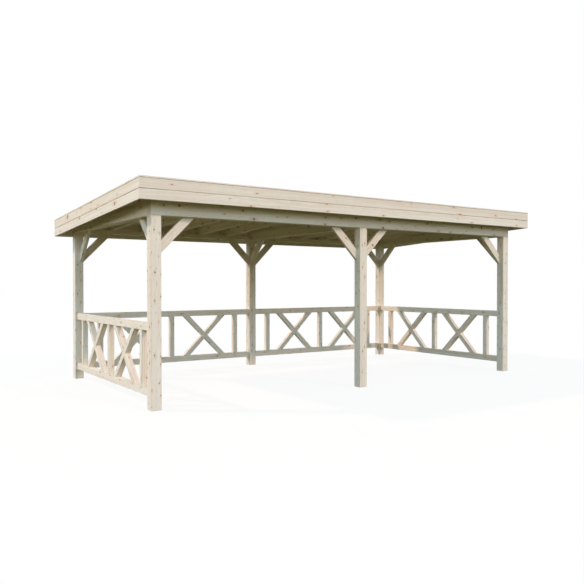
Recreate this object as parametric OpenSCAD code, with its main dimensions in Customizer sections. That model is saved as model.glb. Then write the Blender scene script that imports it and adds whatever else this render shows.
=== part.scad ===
// Garden pavilion: six posts, level beams, knee braces, a flat roof that falls to the back,
// and four cross-barred balustrade panels round the two ends and the back.
// The frame of reference: Z is up, the floor is Z 0, and X 0, Y 0 is the middle of the plan.
// X runs along the length. The open front faces -Y.

/* [Frame] */
// Length over the corner posts
frame_l = 6000; // [4200:10:7200]
// Depth over the corner posts
frame_w = 3060; // [2400:10:3900]
// Side of the square posts, and width of the beams on them
post_s = 120; // [90:5:160]
// Height of the posts, from the floor to the underside of the beams
post_h = 2140; // [1900:10:2600]

/* [Beams] */
// Height of the long beam over the front posts
beam_front_h = 205; // [150:1:260]
// Height of the two end beams and the middle beam
beam_end_h = 134; // [100:1:180]
// Least depth of the seats cut in the rafters over the front beam
seat_front = 3; // [1:1:15]
// Least depth of the seats cut in the rafters over the back beam
seat_back = 10; // [1:1:25]

/* [Knee braces] */
// Reach of a brace along the beam and down the post
brace_reach = 432; // [250:1:600]
// Width of a brace, square to its length
brace_w = 99; // [60:1:140]
// Thickness of a brace
brace_t = 45; // [30:1:70]
// Set-back of a brace from the inner side of the post
brace_in = 8; // [0:1:30]

/* [Rafters] */
// Width of a rafter
rafter_w = 45; // [35:1:70]
// Height of a rafter
rafter_h = 127; // [90:1:180]
// Rafters between two cross beams
rafters_per_bay = 5; // [3:1:8]

/* [Roof] */
// Fall of the roof to the back, in degrees
roof_pitch = 3; // [1:0.1:5]
// Overhang past the posts at the front and the back
overhang_eave = 210; // [100:5:400]
// Overhang past the posts at the two ends
overhang_side = 210; // [100:5:400]
// Thickness of the roof boards
deck_t = 19; // [15:1:28]
// Thickness of the roofing felt
felt_t = 4; // [2:1:8]
// Thickness of the fascia boards
fascia_t = 20; // [15:1:35]
// Height of the lower fascia board
fascia_low_h = 113; // [60:1:160]
// Height of the upper fascia board
fascia_up_h = 110; // [60:1:160]
// Open joint between the two fascia boards
fascia_gap = 4; // [2:1:15]
// Width of the trim strip on the roof edge
trim_w = 60; // [30:1:100]
// Height of the trim strip
trim_h = 20; // [10:1:40]

/* [Balustrade] */
// Thickness of a panel, centred in the posts
panel_t = 70; // [45:1:90]
// Height of the top and bottom rails
rail_h = 90; // [60:1:120]
// Height of the underside of the bottom rail above the floor
panel_low_z = 140; // [50:1:300]
// Height of the top of the top rail above the floor
panel_top_z = 958; // [700:1:1200]
// Width of the uprights and the cross bars
bar_w = 70; // [40:1:90]
// Clear space between a post and the nearest upright
side_gap = 230; // [80:1:300]
// Slope of the cross bars from level, in degrees
cross_angle = 45; // [40:1:60]

/* [Hidden] */
half_l = frame_l / 2;
half_w = frame_w / 2;
in_l = half_l - post_s; // inner side of the corner posts, from the middle
in_w = half_w - post_s; // inner side of the corner posts, from the middle
bay_l = in_l - post_s / 2; // clear length of one of the two bays
roof_x = half_l + overhang_side; // outer face of the end fascias
roof_y = half_w + overhang_eave; // outer face of the front and back fascias
fall = tan(roof_pitch); // drop of the roof for each unit towards the back
rafter_drop = trim_h + felt_t + deck_t + rafter_h; // rafter underside below the trim top
deck_drop = trim_h + felt_t + deck_t; // underside of the roof boards below the trim top
fascia_drop = trim_h + fascia_up_h + fascia_gap + fascia_low_h; // fascia underside below it
roof_mid_z = post_h + beam_front_h - seat_front + rafter_drop - fall * half_w;
beam_back_h = roof_mid_z - fall * in_w - rafter_drop + seat_back - post_h;
bar_in = 10; // how far bars run into the rails, where they are one piece
eps = 1; // overlap of cutting shapes past the faces they cut

// Height of the top of the trim at a place Y on the sloping roof
function roof_z(y) = roof_mid_z - fall * y;

// A profile of [y, z] points run along X from x0 to x1
module run_x(x0, x1, points) {
    translate([x0, 0, 0])
        rotate([90, 0, 90])
            linear_extrude(x1 - x0)
                polygon(points);
}

// A layer of the roof, between two drops below the trim top, over the whole roof
module roof_layer(top, bottom, x, y) {
    run_x(-x, x, [[-y, roof_z(-y) - top], [-y, roof_z(-y) - bottom],
        [y, roof_z(y) - bottom], [y, roof_z(y) - top]]);
}

// One mitred edge strip of the roof, on the side named by its two corner points
module edge_strip(top, bottom, w, a, b) {
    intersection() {
        roof_layer(top, bottom, roof_x, roof_y);
        linear_extrude(roof_z(-roof_y) + eps)
            polygon([[a[0] * roof_x, a[1] * roof_y], [b[0] * roof_x, b[1] * roof_y],
                [b[0] * (roof_x - w), b[1] * (roof_y - w)],
                [a[0] * (roof_x - w), a[1] * (roof_y - w)]]);
    }
}

module fascia(a, b) {
    color("wheat") {
        edge_strip(trim_h, trim_h + fascia_up_h, fascia_t, a, b);
        edge_strip(trim_h + fascia_up_h + fascia_gap, fascia_drop, fascia_t, a, b);
    }
}

module fascia_front() fascia([-1, -1], [1, -1]);
module fascia_right() fascia([1, -1], [1, 1]);
module fascia_back() fascia([1, 1], [-1, 1]);
module fascia_left() fascia([-1, 1], [-1, -1]);

module trim(a, b) {
    color("antiquewhite") edge_strip(0, trim_h, trim_w, a, b);
}

module trim_front() trim([-1, -1], [1, -1]);
module trim_right() trim([1, -1], [1, 1]);
module trim_back() trim([1, 1], [-1, 1]);
module trim_left() trim([-1, 1], [-1, -1]);

module roof_boards() {
    color("burlywood")
        roof_layer(trim_h + felt_t, deck_drop, roof_x - fascia_t, roof_y - fascia_t);
}

module roof_felt() {
    color("dimgray")
        roof_layer(trim_h, trim_h + felt_t, roof_x - fascia_t, roof_y - fascia_t);
}

// A post, with its middle at x and y
module post(x, y) {
    color("moccasin")
        translate([x - post_s / 2, y - post_s / 2, 0])
            cube([post_s, post_s, post_h]);
}

post_x = half_l - post_s / 2;
post_y = half_w - post_s / 2;
module post_front_left() post(-post_x, -post_y);
module post_front_mid() post(0, -post_y);
module post_front_right() post(post_x, -post_y);
module post_back_left() post(-post_x, post_y);
module post_back_mid() post(0, post_y);
module post_back_right() post(post_x, post_y);

// A beam over the full length, with its middle line at y
module long_beam(y, h) {
    color("wheat")
        translate([-half_l, y - post_s / 2, post_h])
            cube([frame_l, post_s, h]);
}

module beam_front() long_beam(-post_y, beam_front_h);
module beam_back() long_beam(post_y, beam_back_h);

// A beam from front to back between the long beams, with its middle line at x
module cross_beam(x) {
    color("wheat")
        translate([x - post_s / 2, -in_w, post_h])
            cube([post_s, 2 * in_w, beam_end_h]);
}

module beam_left() cross_beam(-post_x);
module beam_mid() cross_beam(0);
module beam_right() cross_beam(post_x);

// A brace running towards +X from a post face at X 0, under a beam at Z 0, from Y 0 back
module brace() {
    seat = brace_w * sqrt(2);
    translate([0, brace_t, 0])
        rotate([90, 0, 0])
            linear_extrude(brace_t)
                polygon([[0, seat - brace_reach], [0, -brace_reach], [brace_reach, 0],
                    [brace_reach - seat, 0]]);
}

// A brace along X from the post face at x, towards dir, on the front or back side
module brace_along(x, dir, side) {
    y0 = side < 0 ? -in_w - brace_in - brace_t : in_w + brace_in;
    translate([x, y0, post_h])
        scale([dir, 1, 1])
            brace();
}

// A brace from the front or back post to a cross beam, its left face at x
module brace_across(x, side) {
    translate([x, side * in_w, post_h])
        mirror([0, side > 0 ? 1 : 0, 0])
            rotate([0, 0, 90])
                translate([0, -brace_t, 0])
                    brace();
}

// The braces of a corner post: end is -1 at the left and 1 at the right, side -1 at the front
module corner_braces(end, side) {
    x_in = end < 0 ? -in_l - brace_in - brace_t : in_l + brace_in;
    color("burlywood") {
        brace_along(end * in_l, -end, side);
        brace_across(x_in, side);
    }
}

// The braces of a middle post
module mid_braces(side) {
    color("burlywood") {
        brace_along(-post_s / 2, -1, side);
        brace_along(post_s / 2, 1, side);
        brace_across(brace_in - post_s / 2, side);
    }
}

module braces_front_left() corner_braces(-1, -1);
module braces_front_mid() mid_braces(-1);
module braces_front_right() corner_braces(1, -1);
module braces_back_left() corner_braces(-1, 1);
module braces_back_mid() mid_braces(1);
module braces_back_right() corner_braces(1, 1);

// The two ends, top and tails of a rafter, with its underside seated on the long beams.
// under is the list of [y, z] points of the underside between the long beams.
module rafter(x, under) {
    y1 = roof_y - fascia_t;
    front_z = post_h + beam_front_h;
    back_z = post_h + beam_back_h;
    color("tan")
        run_x(x - rafter_w / 2, x + rafter_w / 2, concat(
            [[y1, roof_z(y1) - deck_drop], [-y1, roof_z(-y1) - deck_drop],
             [-y1, roof_z(-y1) - rafter_drop], [-half_w, roof_z(-half_w) - rafter_drop],
             [-half_w, front_z], [-in_w, front_z]],
            under,
            [[in_w, back_z], [half_w, back_z], [half_w, roof_z(half_w) - rafter_drop],
             [y1, roof_z(y1) - rafter_drop]]));
}

// A rafter that stands free between the long beams
module free_rafter(x) {
    rafter(x, [[-in_w, roof_z(-in_w) - rafter_drop], [in_w, roof_z(in_w) - rafter_drop]]);
}

// A rafter that lies on a cross beam for its whole length
module seated_rafter(x) {
    rafter(x, [[-in_w, post_h + beam_end_h], [in_w, post_h + beam_end_h]]);
}

module rafter_left() seated_rafter(-post_x);
module rafter_mid() seated_rafter(0);
module rafter_right() seated_rafter(post_x);

// The free rafters of a bay, dir -1 at the left and 1 at the right
module bay_rafters(dir) {
    step = post_x / (rafters_per_bay + 1);
    for (i = [1 : rafters_per_bay])
        free_rafter(dir * i * step);
}

module rafters_left_bay() bay_rafters(-1);
module rafters_right_bay() bay_rafters(1);

// A sloping bar of a cross, centred on x, rising towards +X when dir is 1
module cross_bar(x, dir) {
    low = panel_low_z + rail_h - bar_in;
    high = panel_top_z - rail_h + bar_in;
    reach = dir * (high - low) / 2 / tan(cross_angle);
    half = bar_w / 2 / sin(cross_angle);
    translate([x, panel_t, 0])
        rotate([90, 0, 0])
            linear_extrude(panel_t)
                polygon([[-reach - half, low], [-reach + half, low], [reach + half, high],
                    [reach - half, high]]);
}

// A balustrade panel along X from X 0 to X len: two rails, three uprights, two crosses
module panel(len) {
    side_x = side_gap + bar_w / 2;
    low = panel_low_z + rail_h - bar_in;
    color("tan") {
        for (z = [panel_low_z, panel_top_z - rail_h])
            translate([0, 0, z])
                cube([len, panel_t, rail_h]);
        for (x = [side_x, len / 2, len - side_x])
            translate([x - bar_w / 2, 0, low])
                cube([bar_w, panel_t, panel_top_z - rail_h + bar_in - low]);
        for (x = [(side_x + len / 2) / 2, len - (side_x + len / 2) / 2], dir = [-1, 1])
            cross_bar(x, dir);
    }
}

module end_panel(x) {
    translate([x + panel_t / 2, -in_w, 0])
        rotate([0, 0, 90])
            panel(2 * in_w);
}

module back_panel(x) {
    translate([x, post_y - panel_t / 2, 0])
        panel(bay_l);
}

module panel_left() end_panel(-post_x);
module panel_right() end_panel(post_x);
module panel_back_left() back_panel(-in_l);
module panel_back_right() back_panel(post_s / 2);

post_front_left();
post_front_mid();
post_front_right();
post_back_left();
post_back_mid();
post_back_right();
beam_front();
beam_back();
beam_left();
beam_mid();
beam_right();
braces_front_left();
braces_front_mid();
braces_front_right();
braces_back_left();
braces_back_mid();
braces_back_right();
rafter_left();
rafter_mid();
rafter_right();
rafters_left_bay();
rafters_right_bay();
roof_boards();
roof_felt();
fascia_front();
fascia_back();
fascia_left();
fascia_right();
trim_front();
trim_back();
trim_left();
trim_right();
panel_left();
panel_right();
panel_back_left();
panel_back_right();
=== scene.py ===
"""Looks for a garden pavilion of planed spruce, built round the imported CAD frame.

Every timber is a mesh of its own with eased edges. Each holds three point attributes, which the
timber material reads: "grain" (place along and across the timber), "half" (half its two
thicknesses, and its length) and "luck" (three random numbers, one set for each timber).
"""
import math
import random
from types import SimpleNamespace

import bmesh
import bpy
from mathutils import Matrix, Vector


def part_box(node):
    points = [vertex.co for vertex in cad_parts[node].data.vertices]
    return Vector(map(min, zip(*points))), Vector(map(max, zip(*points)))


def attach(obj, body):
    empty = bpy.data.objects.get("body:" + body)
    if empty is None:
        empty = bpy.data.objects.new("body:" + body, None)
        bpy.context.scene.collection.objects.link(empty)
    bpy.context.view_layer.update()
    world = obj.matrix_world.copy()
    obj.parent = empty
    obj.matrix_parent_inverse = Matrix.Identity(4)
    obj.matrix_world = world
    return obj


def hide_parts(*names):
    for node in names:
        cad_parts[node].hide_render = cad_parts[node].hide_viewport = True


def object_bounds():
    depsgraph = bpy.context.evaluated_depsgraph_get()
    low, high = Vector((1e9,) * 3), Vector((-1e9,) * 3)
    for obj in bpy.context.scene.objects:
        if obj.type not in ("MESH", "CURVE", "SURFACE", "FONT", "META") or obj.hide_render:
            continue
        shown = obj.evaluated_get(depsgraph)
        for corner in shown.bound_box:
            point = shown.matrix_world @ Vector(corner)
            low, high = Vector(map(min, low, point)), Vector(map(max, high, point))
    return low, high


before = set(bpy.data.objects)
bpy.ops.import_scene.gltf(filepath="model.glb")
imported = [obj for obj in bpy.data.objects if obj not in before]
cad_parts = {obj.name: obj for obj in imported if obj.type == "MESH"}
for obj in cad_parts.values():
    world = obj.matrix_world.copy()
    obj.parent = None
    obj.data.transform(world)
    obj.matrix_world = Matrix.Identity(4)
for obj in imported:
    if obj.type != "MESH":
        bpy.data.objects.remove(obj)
CAD_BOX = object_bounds()

# ---------------------------------------------------------------- sizes, in metres, as in the CAD
ROOF_FALL = math.tan(math.radians(3))  # drop of the roof for each metre towards the back
TRIM_H, TRIM_W = 0.020, 0.060
FELT_T, DECK_T, RAFTER_H = 0.004, 0.019, 0.127
FASCIA_T, FASCIA_UP, FASCIA_GAP, FASCIA_LOW = 0.020, 0.110, 0.004, 0.113
BRACE_REACH, BRACE_W, BRACE_T, BRACE_IN = 0.432, 0.099, 0.045, 0.008
PANEL_T, RAIL_H, BAR_W, SIDE_GAP = 0.070, 0.090, 0.070, 0.230
RAFTERS_PER_BAY = 5

# ---------------------------------------------------------------- sizes of the finer detail
EASE_POST, EASE_BEAM, EASE_BRACE, EASE_RAFTER = 0.004, 0.004, 0.003, 0.0025
EASE_PANEL, EASE_FASCIA, EASE_TRIM = 0.003, 0.002, 0.002
EASE_POST_END, EASE_BEAM_END = 0.002, 0.001
LONG_BEND, END_BEND = 20, 50           # degrees of bend over which long and end arrises are eased
GLUE = 0.00005         # half the glue line between the two halves of a post

DECK_BOARDS = 29       # boards across the roof
TONGUE, TONGUE_T = 0.006, 0.006
TONGUE_PLAY, TONGUE_SHORT = 0.0003, 0.0005  # room over and under a tongue, and before its tip
BOARD_VEE = 0.003      # bevel on a board's lower edges, which makes a vee between two boards

FELT_SHEETS = 4        # sheets of felt up the slope
FELT_LAP = 0.10
FELT_RISE, FELT_RISEN = 0.012, 0.004  # a rise starts before the next sheet and ends behind its edge
FELT_FOOT = 0.001      # room between a sheet's underside and the next sheet's edge
FELT_PLAY = 0.0001     # room between two sheets where they lap

LIP_T = 0.0155         # lip of the lower fascia board, behind the open joint
LIP_PLAY = 0.0004      # room between the lip and the upper board
DRIP = 0.0028          # height of the shadow line under the trim, a third of its depth
FASCIA_IN = 0.0006     # the fascia boards' faces lie this far in, so that screws can show
TRIM_IN = 0.0005       # and the trim's top lies this far down

# ---------------------------------------------------------------- screws
SCREW_BRACE, SCREW_FASCIA, SCREW_TRIM = 0.0040, 0.0032, 0.0035  # radii of the heads
BRACE_SCREW_IN = 0.062             # from a brace's end
BRACE_SCREW_SHARES = (0.3, 0.7)    # of a brace's thickness
FASCIA_SCREW_IN = 0.028            # from a fascia board's edges
SIDE_ROWS, SIDE_ROW_STEP = 7, 0.54  # rows of screws on the two side fascias
LONG_TRIM_SCREWS, SIDE_TRIM_SCREWS = 14, 8
TRIM_SCREW_DROP = 0.0007           # how far below the roof's top a head is set
HEAD_POINTS = 12
# a head's rings from its rim to the star recess: the height over the timber, and the shares of the
# radius at even and at odd points
HEAD_RINGS = ((-0.0004, 1.0, 1.0), (0.0002, 1.0, 1.0), (0.0006, 0.86, 0.86), (0.0006, 0.40, 0.56),
              (0.0001, 0.34, 0.50))

X, Y, Z = Vector((1, 0, 0)), Vector((0, 1, 0)), Vector((0, 0, 1))

# ---------------------------------------------------------------- sizes taken from the frame
ROOF_X, ROOF_Y, ROOF_TOP = CAD_BOX[1]
IN_X, IN_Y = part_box("post_back_right")[0].xy
POST_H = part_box("post_front_left")[1].z
POST_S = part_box("post_front_left")[1].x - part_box("post_front_left")[0].x
HALF_L, HALF_W = IN_X + POST_S, IN_Y + POST_S
DECK_DROP = TRIM_H + FELT_T + DECK_T
RAFTER_DROP = DECK_DROP + RAFTER_H
RAFTER_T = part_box("rafter_mid")[1].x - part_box("rafter_mid")[0].x
RAFTER_STEP = (HALF_L - POST_S / 2) / (RAFTERS_PER_BAY + 1)


def roof_z(y, drop):
    """Height of a layer of the sloping roof at the place y, at a drop below the roof's top."""
    return ROOF_TOP - ROOF_FALL * (y + ROOF_Y) - drop


# ================================================================ meshes
def bevel(bm, edges, width, segments):
    """Rounds the edges and gives the new faces."""
    return bmesh.ops.bevel(bm, geom=edges, offset=width, segments=segments, profile=0.5,
                           affect="EDGES")["faces"]


class Piece:
    """Collects timbers and fittings, then makes one object of them."""

    def __init__(self, name, nodes, slot, materials):
        self.name, self.nodes, self.slot, self.materials = name, nodes, slot, materials
        self.co, self.faces, self.smooth, self.material_of = [], [], [], []
        self.grain, self.half, self.luck = [], [], []
        self.random = random.Random("pavilion " + name)

    def take(self, bm, along, across, material=0, whole=None, luck=None, soft=()):
        """Adds a finished bmesh as one timber, with a material from the piece's list. whole is the
        lowest and highest corner, along and across, of the timber that this one is glued up in."""
        along = along.normalized()
        across = (across - across.dot(along) * along).normalized()
        axes = (along, across, along.cross(across))
        local = [[v.co.dot(a) for a in axes] for v in bm.verts]
        low = [min(c[i] for c in local) for i in range(3)]
        high = [max(c[i] for c in local) for i in range(3)]
        if whole:
            low, high = whole
        luck = luck or [self.random.random() for _ in range(3)]
        first = len(self.co)
        for i, v in enumerate(bm.verts):
            v.index = i
            self.co.append(tuple(v.co))
            c = local[i]
            self.grain.append((c[0] - low[0], c[1] - (low[1] + high[1]) / 2,
                               c[2] - (low[2] + high[2]) / 2))
            self.half.append(((high[1] - low[1]) / 2, (high[2] - low[2]) / 2, high[0] - low[0]))
            self.luck.append(luck)
        soft = set(soft)
        for f in bm.faces:
            self.faces.append([first + v.index for v in f.verts])
            self.smooth.append(f in soft)
            self.material_of.append(material)
        bm.free()

    def timber(self, a, b, along, across, ease, end_ease=0.0, segments=2, flush=None, **rest):
        """A timber between two outlines with the same number of points. ease rounds its long
        arrises and end_ease those of its ends. flush says which arrises stay sharp, by their
        middle."""
        bm = bmesh.new()
        va, vb = [bm.verts.new(p) for p in a], [bm.verts.new(p) for p in b]
        bm.faces.new(va)
        bm.faces.new(vb[::-1])
        for i in range(len(va)):
            j = (i + 1) % len(va)
            bm.faces.new((va[j], va[i], vb[i], vb[j]))
        bmesh.ops.recalc_face_normals(bm, faces=bm.faces)
        line = along.normalized()

        def arrises(bend, lengthwise):
            """The edges with more than so many degrees of bend that run along the timber, or the
            others."""
            chosen = []
            for e in bm.edges:
                p, q = e.verts[0].co, e.verts[1].co
                runs_along = abs((q - p).normalized().dot(line)) > 0.9
                sharp = e.calc_face_angle(0) > math.radians(bend)
                if sharp and runs_along == lengthwise and not (flush and flush((p + q) / 2)):
                    chosen.append(e)
            return chosen

        soft = []
        if ease:
            soft += bevel(bm, arrises(LONG_BEND, True), ease, segments)
        if end_ease:
            soft += bevel(bm, arrises(END_BEND, False), end_ease, 1)
        self.take(bm, along, across, soft=[f for f in soft if f.is_valid], **rest)

    def box(self, lo, hi, along, across, **rest):
        """A straight timber between two corners."""
        plan = ((lo.x, lo.y), (hi.x, lo.y), (hi.x, hi.y), (lo.x, hi.y))
        foot = [Vector((x, y, lo.z)) for x, y in plan]
        head = [Vector((x, y, hi.z)) for x, y in plan]
        self.timber(foot, head, along, across, **rest)

    def screw(self, at, out, radius):
        """A small round head with a star recess, standing just proud of the timber. It takes the
        piece's second material."""
        out = out.normalized()
        side = out.orthogonal().normalized()
        other = out.cross(side)
        turn = self.random.random() * math.tau
        bm = bmesh.new()
        rings = []
        for height, *shares in HEAD_RINGS:
            ring = []
            for i in range(HEAD_POINTS):
                angle = turn + math.tau * i / HEAD_POINTS
                spoke = side * math.cos(angle) + other * math.sin(angle)
                ring.append(bm.verts.new(at + out * height + spoke * radius * shares[i % 2]))
            rings.append(ring)
        for low, high in zip(rings, rings[1:]):
            for i in range(HEAD_POINTS):
                j = (i + 1) % HEAD_POINTS
                bm.faces.new((low[i], low[j], high[j], high[i]))
        bm.faces.new(rings[-1])
        bm.faces.new(rings[0][::-1])
        self.take(bm, out, side, material=1)

    def build(self):
        """Makes the object, which takes the place of the CAD nodes."""
        mesh = bpy.data.meshes.new(self.name)
        mesh.from_pydata(self.co, [], self.faces)
        for name, values in (("grain", self.grain), ("half", self.half), ("luck", self.luck)):
            layer = mesh.attributes.new(name, "FLOAT_VECTOR", "POINT")
            layer.data.foreach_set("vector", [x for v in values for x in v])
        mesh.polygons.foreach_set("use_smooth", self.smooth)
        mesh.polygons.foreach_set("material_index", self.material_of)
        for m in self.materials:
            mesh.materials.append(m)
        mesh.update()
        piece = bpy.data.objects.new(self.name, mesh)
        bpy.context.scene.collection.objects.link(piece)
        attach(piece, "root")
        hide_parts(*self.nodes)


# ================================================================ materials
class Nodes:
    """Short names for the shader nodes used here."""

    def __init__(self, name):
        self.material = bpy.data.materials.new(name)
        self.material.use_nodes = True
        self.tree = self.material.node_tree
        self.shader = self.tree.nodes["Principled BSDF"]

    def make(self, kind, inputs=(), **settings):
        """A node with its settings, and with its inputs set or linked."""
        node = self.tree.nodes.new(kind)
        for key, value in settings.items():
            setattr(node, key, value)
        for key, value in dict(inputs).items():
            self.put(node.inputs[key], value)
        return node

    def put(self, socket, value):
        """Links an output to the socket, or sets the socket to a plain value."""
        if isinstance(value, bpy.types.NodeSocket):
            self.tree.links.new(value, socket)
        else:
            socket.default_value = value

    def math(self, how, a, b=0.0, c=0.0):
        node = self.make("ShaderNodeMath", operation=how)
        for socket, value in zip(node.inputs, (a, b, c)):
            self.put(socket, value)
        return node.outputs[0]

    def add(self, a, b):
        return self.math("ADD", a, b)

    def sub(self, a, b):
        return self.math("SUBTRACT", a, b)

    def mul(self, a, b):
        return self.math("MULTIPLY", a, b)

    def mad(self, a, b, c):
        """a times b, plus c."""
        return self.math("MULTIPLY_ADD", a, b, c)

    def length(self, a, b):
        return self.math("SQRT", self.add(self.mul(a, a), self.mul(b, b)))

    def split(self, vector):
        return self.make("ShaderNodeSeparateXYZ", {"Vector": vector}).outputs[:3]

    def join(self, x, y, z=0.0):
        return self.make("ShaderNodeCombineXYZ", {"X": x, "Y": y, "Z": z}).outputs[0]

    def attribute(self, name):
        return self.make("ShaderNodeAttribute", attribute_name=name).outputs["Vector"]

    def noise(self, vector, scale=1.0, detail=2.0, rough=0.5, output="Fac"):
        return self.make("ShaderNodeTexNoise", {
            "Vector": vector, "Scale": scale, "Detail": detail, "Roughness": rough,
        }).outputs[output]

    def step(self, value, low, high, to_low=0.0, to_high=1.0):
        """value between low and high, smoothed, as to_low to to_high."""
        return self.make("ShaderNodeMapRange", {
            "Value": value, "From Min": low, "From Max": high, "To Min": to_low, "To Max": to_high,
        }, interpolation_type="SMOOTHSTEP").outputs[0]

    def mix(self, factor, a, b):
        """Colour a turned into colour b by the factor."""
        node = self.make("ShaderNodeMix", {"Factor": factor}, data_type="RGBA", clamp_factor=True)
        for socket, colour in ((node.inputs[6], a), (node.inputs[7], b)):
            self.put(socket, (*colour, 1.0) if isinstance(colour, tuple) else colour)
        return node.outputs[2]

    def bump(self, height, distance, strength):
        node = self.make("ShaderNodeBump",
                         {"Height": height, "Distance": distance, "Strength": strength})
        self.put(self.shader.inputs["Normal"], node.outputs[0])


PALE, WARM = (0.850, 0.775, 0.668), (0.785, 0.650, 0.520)  # sapwood and heartwood
LATE = (0.600, 0.430, 0.270)                               # the dark half of a growth ring
FIBRE, RESIN = (0.62, 0.49, 0.35), (0.48, 0.31, 0.19)
KNOT_HALO = (0.66, 0.42, 0.24)                             # the wood drawn out round a knot
KNOT_RIM, KNOT_CORE = (0.360, 0.165, 0.070), (0.150, 0.066, 0.030)
WORN, SAWN = (0.52, 0.42, 0.31), (0.55, 0.40, 0.25)        # handled arrises and cut ends
RING = 0.0042                                              # width of a growth ring


def place_in_timber(n):
    """Where a point lies in its timber, from the attributes of the mesh."""
    s, p, q = n.split(n.attribute("grain"))
    half_p, half_q, length = n.split(n.attribute("half"))
    luck = n.split(n.attribute("luck"))
    return SimpleNamespace(
        p=p, q=q, luck=luck,
        along=n.mad(luck[0], 37.0, s),    # each timber shows another stretch of the pattern
        off_p=n.sub(half_p, n.math("ABSOLUTE", p)),
        off_q=n.sub(half_q, n.math("ABSOLUTE", q)),
        off_end=n.math("MINIMUM", s, n.sub(length, s)))


def knots(n, at, gap, size, share, dark):
    """Knots, at most one in each cell of a surface that is unrolled round the timber. Gives the
    rim, core and halo of a knot as shares, and how dark it is."""
    on_p = n.math("LESS_THAN", at.off_p, at.off_q)
    side = n.add(n.mul(on_p, n.mad(n.math("SIGN", at.p), 3.0, 5.3)),
                 n.mul(n.sub(1.0, on_p), n.mul(n.math("SIGN", at.q), 1.7)))
    across = n.add(at.p, n.mul(on_p, n.sub(at.q, at.p)))
    u = n.math("DIVIDE", at.along, gap[0])
    v = n.add(n.math("DIVIDE", across, gap[1]), n.mad(at.luck[1], 19.0, n.mul(side, 7.0)))
    cells = n.make("ShaderNodeTexVoronoi", {"Vector": n.join(u, v), "Scale": 1.0},
                   voronoi_dimensions="2D")
    cell_u, cell_v, _ = n.split(cells.outputs["Position"])
    du, dv = n.mul(n.sub(u, cell_u), gap[0]), n.mul(n.sub(v, cell_v), gap[1])
    draw, spread, tilt = n.split(cells.outputs["Color"])
    there = n.math("LESS_THAN", draw, share)
    radius = n.mul(n.mad(n.mul(spread, spread), 1.2, 0.55), size)
    # a few knots are cut along their branch, and show as a spike across the timber
    spike = n.step(tilt, 0.88, 0.97, 1.0, 0.45)
    away = n.math("DIVIDE", n.length(du, n.mul(dv, spike)), radius)
    away = n.mul(away, n.mad(n.noise(n.join(at.along, at.p, at.q), 90.0, 1.0), 0.5, 0.75))
    long_away = n.math("DIVIDE", n.length(n.mul(du, 0.30), dv), radius)
    return SimpleNamespace(
        rim=n.mul(n.step(away, 1.25, 0.80), there),
        core=n.mul(n.step(away, 0.95, 0.50), there),
        halo=n.mul(n.step(long_away, 2.6, 0.6), there),
        dark=n.mad(n.math("FRACT", n.mul(draw, 11.0)), 1.0 - dark, dark))


def growth(n, at, halo):
    """Growth rings round a pith that wanders beside the timber, pushed aside by the knots. Gives
    the dark half of a ring, the difference between years, fibre, cloudy patches and short dashes of
    resin along the grain."""
    wander = n.noise(n.join(n.mul(at.along, 0.9), at.luck[1], at.luck[2]), 1.0, 1.0,
                     output="Color")
    wp, wq, _ = n.split(wander)
    pith_p = n.add(at.p, n.mad(n.sub(at.luck[1], 0.5), 0.20, n.mul(n.sub(wp, 0.5), 0.05)))
    pith_q = n.add(at.q, n.mad(at.luck[2], 0.09, n.mad(n.sub(wq, 0.5), 0.05, 0.012)))

    def streaks(lengthwise, crosswise, detail=2.0):
        """Noise with so many features to the metre along the timber and across it."""
        return n.noise(n.join(n.mul(at.along, lengthwise), n.mul(at.p, crosswise),
                              n.mul(at.q, crosswise)), 1.0, detail)

    reach = n.add(n.length(pith_p, pith_q),
                  n.add(n.mul(streaks(2.2, 9.0), 0.012), n.mul(halo, 0.006)))
    year = n.math("FRACT", n.math("DIVIDE", reach, RING))
    return SimpleNamespace(
        late=n.mul(n.step(year, 0.35, 0.92), n.step(year, 1.0, 0.94)),
        years=n.noise(n.join(n.mul(reach, 55.0), n.mul(at.luck[0], 40.0), n.mul(at.along, 0.25))),
        fibre=streaks(5.0, 420.0),
        cloud=streaks(1.3, 7.0),
        dash=n.step(streaks(14.0, 150.0, detail=1.0), 0.63, 0.73))


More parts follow.
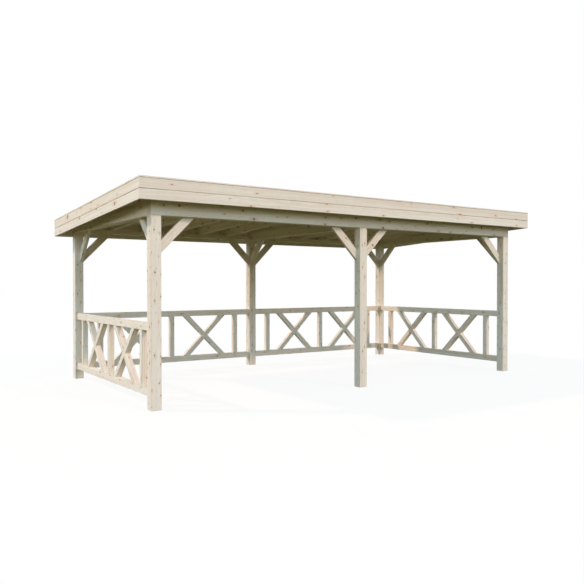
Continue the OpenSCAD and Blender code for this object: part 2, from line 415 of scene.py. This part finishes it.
def spruce(name, warm, knot_gap, knot_size, knot_share=0.7, knot_dark=0.15, dashes=0.45):
    """Planed spruce. warm is the share of pink heartwood, knot_gap the mean room of a knot along
    and across, knot_size a knot's radius, knot_share how many places have one, knot_dark how dark
    the palest knot is, and dashes how dark the dashes of resin are."""
    n = Nodes(name)
    at = place_in_timber(n)
    knot = knots(n, at, knot_gap, knot_size, knot_share, knot_dark)
    wood = growth(n, at, knot.halo)
    patches = n.mad(n.sub(wood.years, 0.5), 2.4, n.mul(n.sub(wood.cloud, 0.5), 1.2))
    heart = n.add(n.mad(n.sub(at.luck[2], 0.5), 0.6, warm), patches)
    worn = n.step(n.math("MAXIMUM", at.off_p, at.off_q), 0.007, 0.001)
    sawn = n.step(at.off_end, 0.0012, 0.0)
    colour = n.mix(n.math("MAXIMUM", heart, 0.0), PALE, WARM)
    colour = n.mix(n.mul(wood.late, n.mad(wood.years, 0.30, 0.10)), colour, LATE)
    colour = n.mix(n.mul(n.step(wood.fibre, 0.35, 0.75), 0.10), colour, FIBRE)
    colour = n.mix(n.mul(wood.dash, dashes), colour, RESIN)
    colour = n.mix(n.mul(knot.halo, 0.45), colour, KNOT_HALO)
    colour = n.mix(n.mul(knot.rim, n.mad(knot.dark, 0.50, 0.42)), colour, KNOT_RIM)
    colour = n.mix(n.mul(knot.core, n.mad(knot.dark, 0.75, 0.10)), colour, KNOT_CORE)
    colour = n.mix(n.mul(worn, n.mad(wood.cloud, 0.30, 0.02)), colour, WORN)
    colour = n.mix(n.mul(sawn, 0.5), colour, SAWN)
    rough = n.add(n.mad(wood.fibre, 0.18, 0.62), n.mul(knot.rim, -0.12))
    n.put(n.shader.inputs["Base Color"], colour)
    n.put(n.shader.inputs["Roughness"], rough)
    n.shader.inputs["Specular IOR Level"].default_value = 0.03
    height = n.add(n.mad(wood.fibre, 0.5, n.mul(wood.late, 0.35)), n.mul(knot.rim, 0.5))
    n.bump(height, 0.0005, 0.6)
    return n.material


CHIP_DARK, CHIP_PALE = (0.054, 0.055, 0.056), (0.155, 0.153, 0.150)
DUST_PATCH, DUST_RUN = (0.150, 0.140, 0.122), (0.185, 0.178, 0.160)
SHEET_TONE, BITUMEN = (0.043, 0.044, 0.046), (0.028, 0.028, 0.028)


def felt_material():
    """Mineral felt: fine slate chips on bitumen, with runs of dust down the slope and bitumen that
    has bled at the laps."""
    n = Nodes("mineral_felt")
    place = n.make("ShaderNodeTexCoord").outputs["Object"]
    _, p, _ = n.split(n.attribute("grain"))
    half_p, _, _ = n.split(n.attribute("half"))
    luck, _, _ = n.split(n.attribute("luck"))
    x, y, _ = n.split(place)
    chips = n.make("ShaderNodeTexVoronoi", {"Vector": place, "Scale": 620.0})
    tone, shade, _ = n.split(chips.outputs["Color"])
    patch = n.noise(place, 1.7, 3.0)
    runs = n.noise(n.join(n.mul(x, 9.0), n.mul(y, 0.8), luck), 1.0, 3.0, 0.6)
    edge = n.sub(half_p, n.math("ABSOLUTE", n.mad(n.noise(place, 30.0), 0.03, p)))
    colour = n.mix(tone, CHIP_DARK, CHIP_PALE)
    colour = n.mix(n.mul(n.step(patch, 0.30, 0.72), 0.55), colour, DUST_PATCH)
    colour = n.mix(n.mul(n.step(runs, 0.48, 0.74), 0.42), colour, DUST_RUN)
    colour = n.mix(n.mul(n.sub(luck, 0.5), 0.5), colour, SHEET_TONE)
    colour = n.mix(n.mul(n.step(edge, 0.030, 0.004), 0.75), colour, BITUMEN)
    n.put(n.shader.inputs["Base Color"], colour)
    n.put(n.shader.inputs["Roughness"], n.mad(shade, 0.2, 0.75))
    n.shader.inputs["Specular IOR Level"].default_value = 0.25
    n.bump(chips.outputs["Distance"], 0.0012, 0.7)
    return n.material


STEEL_DARK, STEEL_PALE = (0.50, 0.49, 0.47), (0.66, 0.65, 0.62)


def steel_material():
    """Stainless screw heads, dulled a little."""
    n = Nodes("screw_steel")
    place = n.make("ShaderNodeTexCoord").outputs["Object"]
    smear = n.noise(place, 260.0)
    n.put(n.shader.inputs["Base Color"], n.mix(smear, STEEL_DARK, STEEL_PALE))
    n.put(n.shader.inputs["Roughness"], n.mad(smear, 0.25, 0.32))
    n.shader.inputs["Metallic"].default_value = 1.0
    n.bump(smear, 0.0002, 0.5)
    return n.material


POST = spruce("post_spruce", 0.35, (0.15, 0.07), 0.0060, knot_dark=0.40, dashes=0.55)
BEAM = spruce("beam_spruce", 0.35, (0.24, 0.10), 0.0080, knot_dark=0.30, dashes=0.30)
BRACE = spruce("brace_spruce", 0.40, (0.22, 0.10), 0.0055, knot_share=0.5, knot_dark=0.35)
RAFTER = spruce("rafter_spruce", 0.50, (0.30, 0.10), 0.0090)
DECK = spruce("deck_spruce", 0.60, (0.35, 0.11), 0.0090)
FASCIA = spruce("fascia_spruce", 0.40, (0.48, 0.12), 0.0100, knot_dark=0.75, dashes=0.22)
TRIM = spruce("trim_spruce", 0.15, (0.90, 0.10), 0.0050, dashes=0.22)
PANEL = spruce("panel_spruce", 0.40, (0.26, 0.08), 0.0060, knot_dark=0.45)
FELT, STEEL = felt_material(), steel_material()


# ================================================================ posts and beams
def post(node):
    """A post glued up from two halves, a pale one on the left and a warmer one."""
    lo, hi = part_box(node)
    piece = Piece("timber_" + node, [node], "post_timber", [POST])
    middle = (lo.x + hi.x) / 2
    whole = ([lo.z, lo.x, lo.y], [hi.z, hi.x, hi.y])
    for x0, x1, heart in ((lo.x, middle - GLUE, 0.10), (middle + GLUE, hi.x, 0.30)):
        draws = [piece.random.random() for _ in range(3)]
        luck = [draws[0], draws[1], heart + 0.3 * draws[2]]
        piece.box(Vector((x0, lo.y, lo.z)), Vector((x1, hi.y, hi.z)), Z, X, ease=EASE_POST,
                  end_ease=EASE_POST_END, segments=3, whole=whole, luck=luck,
                  flush=lambda place: abs(place.x - middle) < 2 * GLUE)
    piece.build()


def beam(node):
    """A beam, along the longer way of its box."""
    lo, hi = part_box(node)
    along, across = (X, Y) if hi.x - lo.x > hi.y - lo.y else (Y, X)
    piece = Piece("timber_" + node, [node], "beam_timber", [BEAM])
    piece.box(lo, hi, along, across, ease=EASE_BEAM, end_ease=EASE_BEAM_END, segments=3)
    piece.build()


for row in ("front", "back"):
    for place in ("left", "mid", "right"):
        post(f"post_{row}_{place}")
for place in ("front", "back", "left", "mid", "right"):
    beam("beam_" + place)


# ================================================================ knee braces
def brace(piece, corner, out, thick_way, thick_from):
    """A brace that leaves the corner of a post and a beam along out. It is BRACE_T thick along
    thick_way, starting at thick_from."""
    seat = BRACE_W * math.sqrt(2)
    outline = [(0, seat - BRACE_REACH), (0, -BRACE_REACH), (BRACE_REACH, 0),
               (BRACE_REACH - seat, 0)]
    near = [corner + out * a + Z * b + thick_way * thick_from for a, b in outline]
    far = [p + thick_way * BRACE_T for p in near]
    line = (out + Z).normalized()
    piece.timber(near, far, line, thick_way, ease=EASE_BRACE)
    # two screws at each end, driven up through the lower edge
    down = (out - Z).normalized()
    for reach in (BRACE_SCREW_IN, BRACE_REACH * math.sqrt(2) - BRACE_SCREW_IN):
        for share in BRACE_SCREW_SHARES:
            at = (corner - Z * BRACE_REACH + line * reach
                  + thick_way * (thick_from + BRACE_T * share))
            piece.screw(at, down, SCREW_BRACE)


def braces(row, side, place, end):
    """The braces of one post. side is the sign of its y, and end the sign of its x or 0."""
    node = f"braces_{row}_{place}"
    piece = Piece("timber_" + node, [node], "brace_timber", [BRACE, STEEL])
    ways = [(-end, end * IN_X)] if end else [(-1, -POST_S / 2), (1, POST_S / 2)]
    for way, x in ways:
        brace(piece, Vector((x, side * IN_Y, POST_H)), X * way, Y * side, BRACE_IN)
    x_in = {-1: -IN_X - BRACE_IN - BRACE_T, 0: BRACE_IN - POST_S / 2, 1: IN_X + BRACE_IN}[end]
    brace(piece, Vector((0, side * IN_Y, POST_H)), Y * -side, X, x_in)
    piece.build()


for row, side in (("front", -1), ("back", 1)):
    for place, end in (("left", -1), ("mid", 0), ("right", 1)):
        braces(row, side, place, end)


# ================================================================ rafters
def rafter(piece, x, seated):
    """A rafter with its seats cut over the two long beams, and over a cross beam where seated."""
    y1 = ROOF_Y - FASCIA_T
    front_z, back_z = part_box("beam_front")[1].z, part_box("beam_back")[1].z
    beam_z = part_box("beam_mid")[1].z
    if seated:
        under = [(-IN_Y, beam_z), (IN_Y, beam_z)]
    else:
        under = [(-IN_Y, roof_z(-IN_Y, RAFTER_DROP)), (IN_Y, roof_z(IN_Y, RAFTER_DROP))]
    outline = [(y1, roof_z(y1, DECK_DROP)), (-y1, roof_z(-y1, DECK_DROP)),
               (-y1, roof_z(-y1, RAFTER_DROP)), (-HALF_W, roof_z(-HALF_W, RAFTER_DROP)),
               (-HALF_W, front_z), (-IN_Y, front_z), *under, (IN_Y, back_z), (HALF_W, back_z),
               (HALF_W, roof_z(HALF_W, RAFTER_DROP)), (y1, roof_z(y1, RAFTER_DROP))]
    near = [Vector((x - RAFTER_T / 2, y, z)) for y, z in outline]
    piece.timber(near, [p + X * RAFTER_T for p in near], Vector((0, 1, -ROOF_FALL)), X,
                 ease=EASE_RAFTER)


for node in ("rafter_left", "rafter_mid", "rafter_right"):
    lo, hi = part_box(node)
    piece = Piece("timber_" + node, [node], "rafter_timber", [RAFTER])
    rafter(piece, (lo.x + hi.x) / 2, seated=True)
    piece.build()
for node, way in (("rafters_left_bay", -1), ("rafters_right_bay", 1)):
    piece = Piece("timber_" + node, [node], "rafter_timber", [RAFTER])
    for i in range(RAFTERS_PER_BAY):
        rafter(piece, way * (i + 1) * RAFTER_STEP, seated=False)
    piece.build()


# ================================================================ roof boards and felt
def across_roof(piece, outline):
    """A board or sheet from one side fascia to the other. outline has (y, drop) points."""
    reach = ROOF_X - FASCIA_T
    near = [Vector((-reach, y, roof_z(y, drop))) for y, drop in outline]
    piece.timber(near, [p + X * 2 * reach for p in near], X, Y, ease=0.0)


deck_y = ROOF_Y - FASCIA_T
board_w = 2 * deck_y / DECK_BOARDS
top, low = TRIM_H + FELT_T, DECK_DROP
tongue_top, tongue_low = (top + low - TONGUE_T) / 2, (top + low + TONGUE_T) / 2
groove_top, groove_low = tongue_top - TONGUE_PLAY, tongue_low + TONGUE_PLAY
piece = Piece("tongued_roof_boards", ["roof_boards"], "roof_board", [DECK])
for i in range(DECK_BOARDS):
    y0, y1 = -deck_y + i * board_w, -deck_y + (i + 1) * board_w
    outline = [(y0, low - BOARD_VEE), (y0 + BOARD_VEE, low), (y1 - BOARD_VEE, low),
               (y1, low - BOARD_VEE)]
    if i < DECK_BOARDS - 1:
        tip = y1 + TONGUE - TONGUE_SHORT
        outline += [(y1, tongue_low), (tip, tongue_low), (tip, tongue_top), (y1, tongue_top)]
    outline += [(y1, top), (y0, top)]
    if i > 0:
        outline += [(y0, groove_top), (y0 + TONGUE, groove_top), (y0 + TONGUE, groove_low),
                    (y0, groove_low)]
    across_roof(piece, outline)
piece.build()

sheet_w = 2 * deck_y / FELT_SHEETS
under, over = TRIM_H + FELT_T, TRIM_H + FELT_T / 2
piece = Piece("roof_felt_sheets", ["roof_felt"], "roofing_felt", [FELT])
for i in range(FELT_SHEETS):
    # a sheet lies flat on the boards, and rises over the front edge of the sheet behind it
    y0, edge = -deck_y + i * sheet_w, -deck_y + (i + 1) * sheet_w
    y1 = min(edge + FELT_LAP, deck_y)
    outline = [(y0, under), (y0, over)]
    if i < FELT_SHEETS - 1:
        outline += [(edge - FELT_RISE, over), (edge + FELT_RISEN, TRIM_H), (y1, TRIM_H),
                    (y1, over - FELT_PLAY), (edge + FELT_RISEN, over - FELT_PLAY),
                    (edge - FELT_FOOT, under)]
    else:
        outline += [(y1, over), (y1, under)]
    across_roof(piece, outline)
piece.build()


# ================================================================ fascia boards and trim strips
CORNERS = {"front": ((-1, -1), (1, -1)), "right": ((1, -1), (1, 1)),
           "back": ((1, 1), (-1, 1)), "left": ((-1, 1), (-1, -1))}


def outward(a, b):
    """The way out of the roof between two corners."""
    return Vector(((a[0] + b[0]) / 2, (a[1] + b[1]) / 2, 0))


def edge_board(piece, a, b, outline, ease, heart):
    """A board round the roof's edge, mitred at both corners. outline has (in from the roof's side,
    drop below the roof's top) points, a and b are the signs of its two corners, and heart is how
    pink the board is."""
    ends = []
    for corner in (a, b):
        places = [(corner[0] * (ROOF_X - d), corner[1] * (ROOF_Y - d), drop) for d, drop in outline]
        ends.append([Vector((x, y, roof_z(y, drop))) for x, y, drop in places])
    luck = [piece.random.random(), piece.random.random(), heart]
    piece.timber(*ends, ends[1][0] - ends[0][0], outward(a, b), ease=ease, luck=luck)


def fascia(name, a, b):
    """Two boards, one above the other, with an open joint and the lower one's lip behind it."""
    up_top, up_low = TRIM_H, TRIM_H + FASCIA_UP
    low_top, low_low = up_low + FASCIA_GAP, up_low + FASCIA_GAP + FASCIA_LOW
    lip_in, lip_top = FASCIA_T - LIP_T, up_low + LIP_PLAY
    piece = Piece("boards_fascia_" + name, ["fascia_" + name], "fascia_board", [FASCIA, STEEL])
    edge_board(piece, a, b, [(FASCIA_IN, up_top), (FASCIA_T, up_top), (FASCIA_T, up_low),
                             (FASCIA_IN, up_low)], EASE_FASCIA, heart=0.75)
    edge_board(piece, a, b, [(FASCIA_IN, low_top), (lip_in, low_top), (lip_in, lip_top),
                             (FASCIA_T, lip_top), (FASCIA_T, low_low), (FASCIA_IN, low_low)],
               EASE_FASCIA, heart=0.35)
    out = outward(a, b)
    # rows of screws: at the rafters on the long boards, and evenly spaced on the side boards
    if out.y:
        rows = [k * RAFTER_STEP for k in range(-RAFTERS_PER_BAY - 1, RAFTERS_PER_BAY + 2)]
    else:
        rows = [(k - SIDE_ROWS // 2) * SIDE_ROW_STEP for k in range(SIDE_ROWS)]
    for along in rows:
        x = along if out.y else out.x * (ROOF_X - FASCIA_IN)
        y = along if out.x else out.y * (ROOF_Y - FASCIA_IN)
        for drop in (up_top + FASCIA_SCREW_IN, up_low - FASCIA_SCREW_IN,
                     low_top + FASCIA_SCREW_IN, low_low - FASCIA_SCREW_IN):
            piece.screw(Vector((x, y, roof_z(y, drop))), out, SCREW_FASCIA)
    piece.build()


def trim(name, a, b):
    """A flat strip on the roof's edge, over a shadow line."""
    piece = Piece("strip_trim_" + name, ["trim_" + name], "trim_strip", [TRIM, STEEL])
    edge_board(piece, a, b, [(0, TRIM_IN), (TRIM_W, TRIM_IN), (TRIM_W, TRIM_H), (3 * DRIP, TRIM_H),
                             (3 * DRIP, TRIM_H - DRIP), (0, TRIM_H - DRIP)], EASE_TRIM, heart=0.5)
    out = outward(a, b)
    count = LONG_TRIM_SCREWS if out.y else SIDE_TRIM_SCREWS
    for k in range(count):
        share = (k + 0.5) / count * 2 - 1
        x = share * ROOF_X if out.y else out.x * (ROOF_X - TRIM_W / 2)
        y = share * ROOF_Y if out.x else out.y * (ROOF_Y - TRIM_W / 2)
        at = Vector((x, y, roof_z(y, TRIM_SCREW_DROP)))
        piece.screw(at, Vector((0, ROOF_FALL, 1)), SCREW_TRIM)
    piece.build()


for name, (a, b) in CORNERS.items():
    fascia(name, a, b)
    trim(name, a, b)


# ================================================================ balustrade panels
def panel(node, start, way, thick_way, length, front_bar):
    """Two rails, three uprights and two half-lapped crosses. start is the foot of the panel's end,
    way runs along it and thick_way through it. front_bar is which bar of a cross runs through on
    the face that thick_way leaves from: 1 for the one that rises along way."""
    lo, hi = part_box(node)
    piece = Piece("balustrade_" + node, [node], "panel_timber", [PANEL])

    def at(x, t, z):
        return start + way * x + thick_way * t + Z * z

    def block(x0, x1, z0, z1, line, other):
        near = [at(x0, 0, z0), at(x1, 0, z0), at(x1, 0, z1), at(x0, 0, z1)]
        piece.timber(near, [p + thick_way * PANEL_T for p in near], line, other, ease=EASE_PANEL)

    low, high = lo.z + RAIL_H, hi.z - RAIL_H
    for z0 in (lo.z, high):
        block(0, length, z0, z0 + RAIL_H, way, thick_way)
    side_x = SIDE_GAP + BAR_W / 2
    for x in (side_x, length / 2, length - side_x):
        block(x - BAR_W / 2, x + BAR_W / 2, low, high, Z, thick_way)
    middle_z = (low + high) / 2
    reach = (high - low) / math.sqrt(2)  # half a bar's length, along its middle line
    for x in ((side_x + length / 2) / 2, length - (side_x + length / 2) / 2):
        for slope in (-1, 1):
            line = (way * slope + Z).normalized()
            width = (way - Z * slope).normalized()
            # the lap is cut to half the thickness, from one face or from the other
            kept, cut_face = (0, PANEL_T) if slope == front_bar else (PANEL_T, 0)
            outline = [(-reach, kept), (reach, kept), (reach, cut_face), (BAR_W / 2, cut_face),
                       (BAR_W / 2, PANEL_T / 2), (-BAR_W / 2, PANEL_T / 2),
                       (-BAR_W / 2, cut_face), (-reach, cut_face)]
            sides = []
            for w in (-BAR_W / 2, BAR_W / 2):
                # the ends are cut level, to stand on the rails
                level = slope * w
                sides.append([at(x, t, middle_z) + width * w
                              + line * (s + (level if abs(s) == reach else 0)) for s, t in outline])
            piece.timber(*sides, line, thick_way, ease=EASE_PANEL)
    piece.build()


side_x = HALF_L - POST_S / 2
back_y = HALF_W - POST_S / 2 - PANEL_T / 2
bay = IN_X - POST_S / 2
panel("panel_left", Vector((-side_x - PANEL_T / 2, IN_Y, 0)), -Y, X, 2 * IN_Y, 1)
panel("panel_right", Vector((side_x - PANEL_T / 2, IN_Y, 0)), -Y, X, 2 * IN_Y, -1)
panel("panel_back_left", Vector((-IN_X, back_y, 0)), X, Y, bay, -1)
panel("panel_back_right", Vector((POST_S / 2, back_y, 0)), X, Y, bay, -1)

# ================================================================ floor, light and camera
WHITE = (1.0, 1.0, 1.0, 1.0)
# the sky's colour at the sine of a height above the horizon: dim low down, as behind a hedge
SKY = ((0.00, (0.66, 0.59, 0.40)), (0.12, (2.02, 2.14, 2.06)), (0.30, (1.29, 1.71, 2.20)),
       (0.55, (0.50, 0.96, 1.20)), (1.00, (0.00, 0.06, 0.30)))
FLOOR_BOUNCE = (0.099, 0.104, 0.033, 1.0)  # what the floor sends back to the object
FLOOR_GLOW = 0.90                          # what the camera sees of the floor without any light
FLOOR_SHADE = (0.085, 0.080, 0.070, 1.0)   # and how much of the light it adds to that
FLOOR_REACH, FLOOR_Z = 120.0, -0.001


def seen_directly(tree):
    """1 for what the camera sees, by itself, in gloss or through glass, and 0 for light."""
    path = tree.nodes.new("ShaderNodeLightPath")
    total = path.outputs["Is Camera Ray"]
    for name in ("Is Glossy Ray", "Is Transmission Ray"):
        more = tree.nodes.new("ShaderNodeMath")
        more.operation = "MAXIMUM"
        tree.links.new(total, more.inputs[0])
        tree.links.new(path.outputs[name], more.inputs[1])
        total = more.outputs[0]
    return total


def choose(tree, factor, first, second):
    """A shader that is first where the factor is 0, and second where it is 1."""
    both = tree.nodes.new("ShaderNodeMixShader")
    for output, socket in zip((factor, first, second), both.inputs):
        tree.links.new(output, socket)
    return both.outputs[0]


def studio_sky():
    """A soft sky that lights the object, and plain white for the camera."""
    world = bpy.data.worlds.new("studio")
    bpy.context.scene.world = world
    world.use_nodes = True
    tree = world.node_tree
    tree.nodes.clear()
    place, parts = tree.nodes.new("ShaderNodeTexCoord"), tree.nodes.new("ShaderNodeSeparateXYZ")
    ramp, out = tree.nodes.new("ShaderNodeValToRGB"), tree.nodes.new("ShaderNodeOutputWorld")
    sky, white = tree.nodes.new("ShaderNodeBackground"), tree.nodes.new("ShaderNodeBackground")
    stops = ramp.color_ramp.elements
    stops[0].position, stops[1].position = SKY[0][0], SKY[-1][0]
    stops[0].color, stops[1].color = (*SKY[0][1], 1.0), (*SKY[-1][1], 1.0)
    for height, colour in SKY[1:-1]:
        stops.new(height).color = (*colour, 1.0)
    tree.links.new(place.outputs["Generated"], parts.inputs[0])
    tree.links.new(parts.outputs["Z"], ramp.inputs[0])
    tree.links.new(ramp.outputs[0], sky.inputs["Color"])
    white.inputs["Color"].default_value, white.inputs["Strength"].default_value = WHITE, 1.0
    shown = choose(tree, seen_directly(tree), sky.outputs[0], white.outputs[0])
    tree.links.new(shown, out.inputs["Surface"])


def floor_material():
    """Near white with soft shadows for the camera, darker as a source of light, and clear from
    below."""
    material = bpy.data.materials.new("floor")
    material.use_nodes = True
    tree = material.node_tree
    tree.nodes.clear()
    bounce, shade = tree.nodes.new("ShaderNodeBsdfDiffuse"), tree.nodes.new("ShaderNodeBsdfDiffuse")
    glow, pale = tree.nodes.new("ShaderNodeEmission"), tree.nodes.new("ShaderNodeAddShader")
    clear, out = (tree.nodes.new("ShaderNodeBsdfTransparent"),
                  tree.nodes.new("ShaderNodeOutputMaterial"))
    geometry = tree.nodes.new("ShaderNodeNewGeometry")
    bounce.inputs["Color"].default_value = FLOOR_BOUNCE
    shade.inputs["Color"].default_value = FLOOR_SHADE
    glow.inputs["Color"].default_value, glow.inputs["Strength"].default_value = WHITE, FLOOR_GLOW
    tree.links.new(glow.outputs[0], pale.inputs[0])
    tree.links.new(shade.outputs[0], pale.inputs[1])
    above = choose(tree, seen_directly(tree), bounce.outputs[0], pale.outputs[0])
    shown = choose(tree, geometry.outputs["Backfacing"], above, clear.outputs[0])
    tree.links.new(shown, out.inputs["Surface"])
    return material


def lay_floor():
    """One flat square under the pavilion, facing up."""
    ways = ((-1, -1), (1, -1), (1, 1), (-1, 1))
    mesh = bpy.data.meshes.new("floor")
    mesh.from_pydata([(x * FLOOR_REACH, y * FLOOR_REACH, FLOOR_Z) for x, y in ways], [],
                     [(0, 1, 2, 3)])
    mesh.materials.append(floor_material())
    floor = bpy.data.objects.new("floor", mesh)
    bpy.context.scene.collection.objects.link(floor)


def sun(name, direction, strength, colour, angle):
    """A sun that shines along direction. angle is how wide it looks, in degrees."""
    lamp = bpy.data.lights.new(name, "SUN")
    lamp.energy, lamp.color, lamp.angle = strength, colour, math.radians(angle)
    holder = bpy.data.objects.new(name, lamp)
    holder.rotation_mode = "QUATERNION"
    holder.rotation_quaternion = Vector(direction).to_track_quat("-Z", "Y")
    bpy.context.scene.collection.objects.link(holder)


studio_sky()
lay_floor()
sun("key_from_the_left", (1.0, -0.767, -1.096), 2.36, (1.0, 0.765, 0.65), 2.5)
sun("fill_from_the_front", (-0.38, 1.0, -0.69), 1.42, (1.0, 0.69, 0.56), 4.0)

CAMERA_AT = (-5.6679, -8.2639, 1.3835)
CAMERA_DOWN, CAMERA_TURN = 0.6766, -33.8203  # in degrees, from level and from facing the back
SENSOR, LENS = 36.0, 40.158                  # in millimetres

camera = bpy.data.objects.new("camera", bpy.data.cameras.new("camera"))
camera.data.sensor_width, camera.data.lens = SENSOR, LENS
camera.data.clip_start, camera.data.clip_end = 0.1, 500.0
camera.location = CAMERA_AT
camera.rotation_euler = (math.radians(90 - CAMERA_DOWN), 0.0, math.radians(CAMERA_TURN))
bpy.context.scene.collection.objects.link(camera)
bpy.context.scene.camera = camera
bpy.context.scene.view_settings.view_transform = "Standard"
